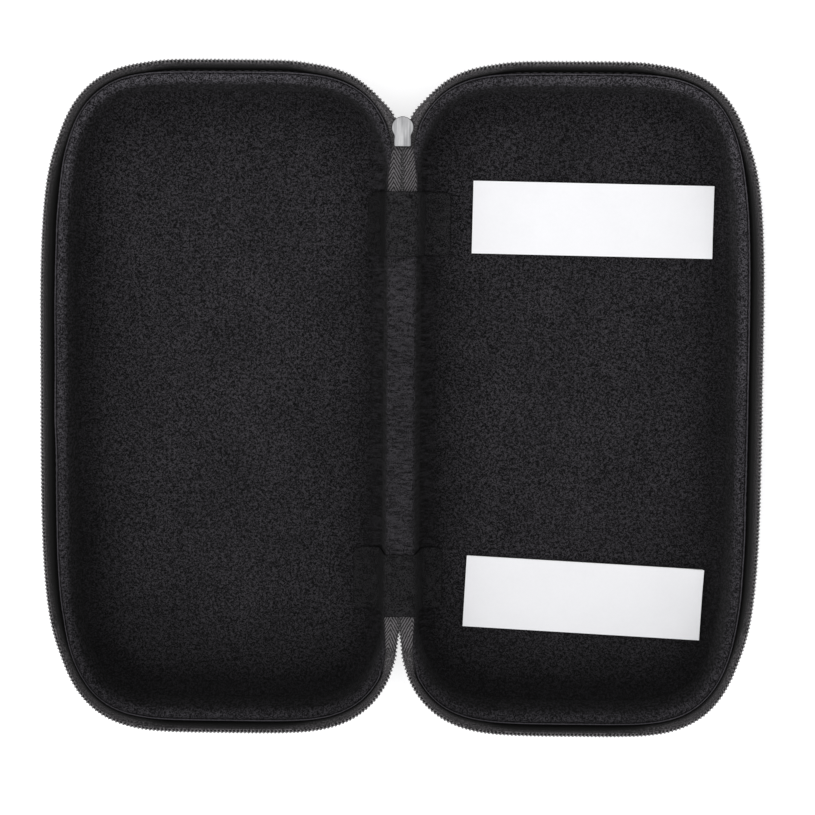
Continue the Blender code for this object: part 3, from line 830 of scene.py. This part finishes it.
def build_zip_coil(prefix, side):
    """One nylon coil round a dark cord, on the tape's outer face with its heads past the free edge."""
    at, (_, _, rim, edge) = resample(tape_lines(), COIL_PITCH / 14)
    across = unit(edge - rim)
    outward = unit(np.cross(across, unit(np.gradient(edge, axis=0))))
    turn = (2 * math.pi * at / COIL_PITCH + (0 if side > 0 else math.pi))[:, None]
    centre = edge - across * 0.0008 + outward * (TAPE_THICKNESS / 2 + COIL_RISE + 0.0001)
    wire = centre + across * (COIL_SPREAD * np.cos(turn)) + outward * (COIL_RISE * np.sin(turn))
    along = unit(np.gradient(wire, axis=0))
    first = unit(np.cross(along, unit(np.cross(across, outward))))
    coil_part = swept(mirrored(tube(wire, COIL_WIRE * first, COIL_WIRE * np.cross(along, first), 6), side))
    centre, across, outward = centre[::10], across[::10], outward[::10]
    cord = tube(centre - across * 0.0001, across * (COIL_SPREAD - 0.0002), outward * (COIL_RISE - 0.00015), 10)
    points, faces = gathered([coil_part, swept(mirrored(cord, side))])
    coil = make_object(prefix + "_zip_teeth", points, faces, COIL_LOOK, smooth_angle=180)
    coil.data.materials.append(THREAD_LOOK)
    for face in coil.data.polygons[len(coil_part[1]) :]:
        face.material_index = 1
    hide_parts(prefix + "_zip_coil", "upper_chain_coil_" + prefix, "lower_chain_coil_" + prefix)
    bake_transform(coil)


def build_stitches(prefix, side):
    """Lock stitches that sew the tape to the wall, a little below the rim."""
    stitch, gap = 0.0026, 0.0007
    stations, in_thread = 12, 10  # of one stitch with its gap, and of the thread alone
    thread_radius = 0.00026
    z = RIM_Z - 0.0045
    angle = np.linspace(math.radians(127), -math.radians(127), 6000)
    x, y = outline(angle, draft_at(z) - 0.00098)
    at, (line,) = resample([np.stack([x, y, np.full(x.shape, z)], axis=1)], (stitch + gap) / stations)
    up = np.array([0.0, 0.0, 1.0])
    side_way = unit(np.cross(unit(np.gradient(line, axis=0)), up))
    swell = np.sin(np.linspace(0.12, math.pi - 0.12, in_thread))[:, None] ** 0.5
    threads = []
    for start in range(0, len(at) - stations, stations):
        used = slice(start, start + in_thread)
        middle = line[used] - side_way[used] * 0.00012 * (1 - swell)
        radius = thread_radius * swell
        threads.append(swept(tube(middle, radius * side_way[used], radius * up, 6)))
    points, faces = gathered(threads)
    seam = make_object(prefix + "_zip_stitches", mirrored(points, side), faces, THREAD_LOOK, prefix)
    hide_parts(prefix + "_zip_seam")


# ---------------------------------------------------------------- patches


def patch_profile(reach, spacing=0.0009):
    """Middle line of a patch from the spine's centre, over the ridge, down the wall and along the floor."""
    depth = FLOOR_Z + PATCH_LIFT
    roll = 0.0022
    centre = (FOLD_X + PATCH_LIFT - roll, RIM_Z + PATCH_LIFT - roll)
    path = [(0.0, RIM_Z + PATCH_LIFT), (centre[0], RIM_Z + PATCH_LIFT)]
    path += ellipse(centre, (roll, roll), 80, 10, 8)
    for inset, z in wall(depth, RIM_Z - roll, 6)[::-1] + fillet(depth, 12)[::-1]:
        path.append((HINGE_FACE_X + inset, z))
    path.append((HINGE_FACE_X + FILLET_INSET + 0.02, depth))
    path = np.array(path)
    beyond = np.argmax(path[:, 0] > reach)
    before = path[beyond - 1]
    end = before + (reach - before[0]) / (path[beyond, 0] - before[0]) * (path[beyond] - before)
    at, (middle,) = resample([np.concatenate([path[:beyond], [end]])], spacing)
    return middle, at[-1]


def build_patch_half(name, side, low_y, high_y, reach, cad):
    """Half of a felt patch, with its long edges a little thinner and uneven where they were cut."""
    profile, length = patch_profile(reach)
    slope = unit(np.gradient(profile, axis=0))
    normal = np.stack([-slope[:, 1], slope[:, 0]], axis=1)
    if normal[0, 1] < 0:
        normal = -normal
    thin = PATCH_LIFT - 0.0001
    corner = 0.0030
    middle_y = (low_y + high_y) / 2
    shade_all, shade_wing = (0.46, 0.08) if low_y < 0 else (0.22, 0.36)
    if side > 0:
        shade_wing = 0.0
    rows, weave = [], []
    for i, (place, up) in enumerate(zip(profile, normal)):
        row = []
        to_end = length * (1 - i / (len(profile) - 1))
        drawn_in = corner - math.sqrt(corner**2 - (corner - min(to_end, corner)) ** 2)
        shade = shade_all + shade_wing * float(smoothstep(place[0], 0.0050, 0.0070))
        for face in (1, -1):
            for y in np.linspace(low_y, high_y, 34)[::face]:
                y = middle_y + (y - middle_y) * (1 - 2 * drawn_in / (high_y - low_y))
                edge = min(y - low_y - drawn_in, high_y - y - drawn_in, to_end)
                thickness = thin * (0.45 + 0.55 * float(smoothstep(edge, 0.0, 0.0010)))
                wave = 0.00025 * noise.noise(Vector((place[0] * 90, y * 90, place[1] * 90)))
                fray = 0.00035 * noise.noise(Vector((place[0] * 300, y * 9, 5.0))) if edge < 0.0001 else 0.0
                lift = face * thickness + wave * (1 if i > 3 else i / 4)
                row.append((place[0] + up[0] * lift, y + fray, place[1] + up[1] * lift))
                weave.append((edge, shade, 0.0))
        rows.append(row)
    points, faces = swept(mirrored(np.array(rows), side))
    patch = make_object(name, points, faces, FELT_LOOK, weave=weave)
    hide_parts(*cad)
    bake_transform(patch)


def build_patches():
    for which in ("upper", "lower"):
        low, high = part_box(which + "_patch_spine")
        for body, side in (("base", 1), ("lid", -1)):
            wing = f"{which}_patch_{body}_wing"
            reach = max(abs(corner[0]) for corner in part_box(wing))
            cad = [wing, which + "_patch_spine"]
            build_patch_half(f"{which}_felt_patch_{body}", side, low[1], high[1], reach, cad)


# ---------------------------------------------------------------- slider and pull tab


def joined(loops, wrap=False):
    """A bmesh of loops of points joined by quads, with its ends capped unless the last loop joins the first."""
    bm = bmesh.new()
    loops = [[bm.verts.new(point) for point in loop] for loop in loops]
    if not wrap:
        bm.faces.new(loops[0][::-1])
        bm.faces.new(loops[-1])
    for a, b in zip(loops, loops[1:] + loops[: int(wrap)]):
        for i in range(len(a)):
            j = (i + 1) % len(a)
            bm.faces.new((a[i], a[j], b[j], b[i]))
    return bm


def prism(shape, low_z, high_z):
    return joined([[(x, y, z) for x, y in shape] for z in (low_z, high_z)])


def solid(name, bm, bevel=0.0, segments=3):
    """A zinc object from a bmesh, with its edges rounded where a bevel is given."""
    bmesh.ops.recalc_face_normals(bm, faces=bm.faces)
    mesh = bpy.data.meshes.new(name)
    bm.to_mesh(mesh)
    bm.free()
    made = bpy.data.objects.new(name, mesh)
    bpy.context.collection.objects.link(made)
    mesh.materials.append(ZINC_LOOK)
    if bevel:
        round_off = made.modifiers.new("round", "BEVEL")
        round_off.width = bevel
        round_off.segments = segments
        round_off.limit_method = "ANGLE"
        round_off.angle_limit = math.radians(40)
        apply_modifiers(made)
    return made


def apply_modifiers(made):
    graph = bpy.context.evaluated_depsgraph_get()
    mesh = bpy.data.meshes.new_from_object(made.evaluated_get(graph), depsgraph=graph)
    old = made.data
    made.modifiers.clear()
    made.data = mesh
    bpy.data.meshes.remove(old)
    keep_rest(mesh)
    mesh.shade_smooth()
    mesh.set_sharp_from_angle(angle=math.radians(50))


def slider_outline(low_y, high_y, radius, tail):
    """Keyhole plate: a round head that narrows through a neck to a straight tail, of these half widths."""
    corner = 0.0006
    bow = 0.0003
    centre = high_y - radius
    neck = low_y + 0.0030
    cut = math.radians(28)  # how far below its middle the head's round goes
    turn = np.radians(np.linspace(-28, 208, 33))
    head = [(radius * math.cos(angle), centre + radius * math.sin(angle)) for angle in turn]
    left = []
    for share in np.linspace(0.15, 1, 6):
        x = -radius * math.cos(cut) * (1 - share) - tail * share + bow * math.sin(math.pi * share)
        left.append((x, (centre - radius * math.sin(cut)) * (1 - share) + neck * share))
    left += ellipse((corner - tail, low_y + corner), (corner, corner), 180, 270, 5)
    return head + left + [(-x, y) for x, y in left[::-1]]


def join_bodies(first, others):
    """Unites overlapping solids into the first one."""
    for other in others:
        join = first.modifiers.new("join", "BOOLEAN")
        join.operation = "UNION"
        join.solver = "EXACT"
        join.object = other
    apply_modifiers(first)
    for other in others:
        bpy.data.objects.remove(other, do_unlink=True)


def build_slider():
    """Two plates joined by a post, with low lips at the tail and a bridge below for the pull tab."""
    low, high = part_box("slider_body")
    head, tail = high[0], 0.0034
    plate_z = high[2]
    front_z = RIM_Z - 0.0046
    lip_length = 0.0030
    plate = slider_outline(low[1], high[1], head, tail)
    slider = solid("zip_slider", prism(plate, plate_z - 0.0010, plate_z), 0.00038, 4)
    parts = [solid("front", prism(plate, front_z, front_z + 0.0012), 0.00035)]
    for side in (1, -1):
        lip = [(tail, 0.0), (tail + 0.0004, lip_length), (tail - 0.0004, lip_length), (tail - 0.0008, 0.0)]
        lip = [(side * x, low[1] + y) for x, y in lip][::side]
        parts.append(solid("lip", prism(lip, front_z + 0.0006, RIM_Z - 0.0031)))
    post = [(x, high[1] - 0.0028 + y) for x, y in ellipse((0.0, 0.0), (0.0012, 0.0015), 0, 345, 24)]
    parts.append(solid("post", prism(post, front_z + 0.0006, plate_z - 0.0004)))
    parts.append(solid("bridge", bridge_arch(front_z)))
    join_bodies(slider, parts)
    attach(slider, "slider")
    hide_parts("slider_body")


def bridge_arch(front_z):
    """The arch under the slider that holds the pull tab."""
    joints = frame["record"]["behaviour"]["joints"]
    pivot_y = next(joint for joint in joints if joint["name"] == "pull_tab_swing")["pos_m"][1]
    inner, outer = [], []
    for angle in np.radians(np.linspace(180, 360, 13)):
        rise = abs(math.sin(angle)) ** 0.6
        inner.append((0.0019 * math.cos(angle), front_z + 0.0004 - 0.0024 * rise))
        outer.append((0.0029 * math.cos(angle), front_z + 0.0004 - 0.0032 * rise))
    section = outer + inner[::-1]
    return joined([[(x, pivot_y + y, z) for y, z in section] for x in (-0.0009, 0.0009)])


def rounded_box(half_width, low, high, corner, steps=6):
    points = []
    for quarter, (sx, end) in enumerate(((1, high), (-1, high), (-1, low), (1, low))):
        x = sx * (half_width - corner)
        z = end - corner if end == high else end + corner
        for angle in np.radians(np.linspace(90 * quarter, 90 * quarter + 90, steps)):
            points.append((x + corner * math.cos(angle), z + corner * math.sin(angle)))
    return points


def build_pull_tab():
    """Flat tab with a window at the top and rounded edges."""
    low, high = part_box("pull_tab")
    outer = rounded_box(high[0], low[2], high[2], 0.0018)
    window = rounded_box(0.0015, high[2] - 0.0045, high[2] - 0.0012, 0.0005)
    faces = ((outer, low[1]), (outer, high[1]), (window, high[1]), (window, low[1]))
    tab = solid("zip_pull", joined([[(x, y, z) for x, z in shape] for shape, y in faces], wrap=True), 0.00028)
    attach(tab, "pull_tab")
    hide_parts("pull_tab")


# ---------------------------------------------------------------- mounting tape


def build_liner(which, curl_corner):
    """A release liner: thin coated paper, nearly flat, one corner lifting a little."""
    node = frame["nodes"][which + "_release_liner"]
    corners = np.array([node.matrix_world @ v.co for v in node.data.vertices])
    centre = (corners.min(axis=0) + corners.max(axis=0)) / 2
    spread = corners[:, :2] - centre[:2]
    vectors = np.linalg.eigh(spread.T @ spread)[1]
    long_way = vectors[:, 1] * np.sign(vectors[0, 1])
    short_way = np.array([-long_way[1], long_way[0]])
    half_length = np.abs(spread @ long_way).max()
    half_width = np.abs(spread @ short_way).max()
    low_z = corners[:, 2].min()
    rows = []
    columns = np.linspace(-half_width, half_width, 25)
    for u in np.linspace(-half_length, half_length, 70):
        row = []
        for face in (0.0, 0.00018):
            for v in columns if face else columns[::-1]:
                near = np.hypot(half_length - u * curl_corner[0], half_width - v * curl_corner[1])
                curl = 0.0011 * (1 - float(smoothstep(near, 0.0, 0.016))) ** 2
                wave = 0.00006 * noise.noise(Vector((u * 60, v * 60, 3.0)))
                x, y = centre[:2] + long_way * u + short_way * v
                row.append((x, y, low_z + 0.0001 + face + curl + wave))
        rows.append(row)
    points, faces = swept(np.array(rows))
    liner = make_object(which + "_liner_paper", points, faces, PAPER_LOOK, "base", smooth_angle=40)
    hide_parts(which + "_release_liner")


def dress_cad_nodes():
    """CAD nodes that keep their own shape take a finished material."""
    looks = {"foam_shell": (FOAM_LOOK, ("base", "lid")), "adhesive_tape": (ADHESIVE_LOOK, ("upper", "lower"))}
    for part, (look, places) in looks.items():
        for place in places:
            materials = frame["nodes"][f"{place}_{part}"].data.materials
            materials.clear()
            materials.append(look)


# ---------------------------------------------------------------- stage


def build_stage():
    bpy.ops.mesh.primitive_plane_add(size=6.0, location=(0, 0, -0.0002))
    floor = bpy.context.object
    floor.name = "floor"
    n = Nodes("floor")
    n.set(Base_Color=(0.86, 0.86, 0.87), Roughness=0.9, Emission_Color=(1.0, 1.0, 1.0), Emission_Strength=0.5)
    floor.data.materials.append(n.material)

    world = bpy.data.worlds.new("studio")
    world.use_nodes = True
    background = world.node_tree.nodes["Background"]
    background.inputs["Color"].default_value = (1.0, 1.0, 1.0, 1.0)
    background.inputs["Strength"].default_value = 0.62
    bpy.context.scene.world = world

    lights = (
        ("top_softbox", (0.0, 0.35, 1.30), 1.6, 6.4),
        ("front_softbox", (-0.35, -0.95, 1.0), 1.0, 6.0),
        ("side_softbox", (-1.2, 0.1, 0.8), 0.7, 2.0),
    )
    for name, place, size, power in lights:
        light = bpy.data.lights.new(name, "AREA")
        light.size = size
        light.energy = power
        lamp = bpy.data.objects.new(name, light)
        lamp.location = place
        lamp.rotation_euler = (-Vector(place)).to_track_quat("-Z", "Y").to_euler()
        bpy.context.collection.objects.link(lamp)
    bpy.context.scene.view_settings.view_transform = "Standard"


def build_camera():
    """High over the case, a little towards the slider's end, looking down."""
    tilt, sway, roll = -0.0850, 0.0165, 0.009
    turn = Matrix.Rotation(tilt, 4, "X") @ Matrix.Rotation(sway, 4, "Y") @ Matrix.Rotation(roll, 4, "Z")
    camera = bpy.data.objects.new("camera", bpy.data.cameras.new("camera"))
    camera.matrix_world = Matrix.Translation((0.0176, 0.0742, RIM_Z + 0.898)) @ turn
    camera.data.lens = 98.92
    camera.data.clip_start = 0.01
    bpy.context.collection.objects.link(camera)
    bpy.context.scene.camera = camera


def main():
    build_camera()
    build_stage()
    for prefix, side in (("base", 1), ("lid", -1)):
        build_lining(prefix, side)
        build_outer_cloth(prefix, side)
        build_zip_cloth(prefix, side)
        build_zip_coil(prefix, side)
        build_stitches(prefix, side)
    build_spine_cloth()
    build_patches()
    build_slider()
    build_pull_tab()
    build_liner("upper", (1, -1))
    build_liner("lower", (1, 1))
    dress_cad_nodes()


main()
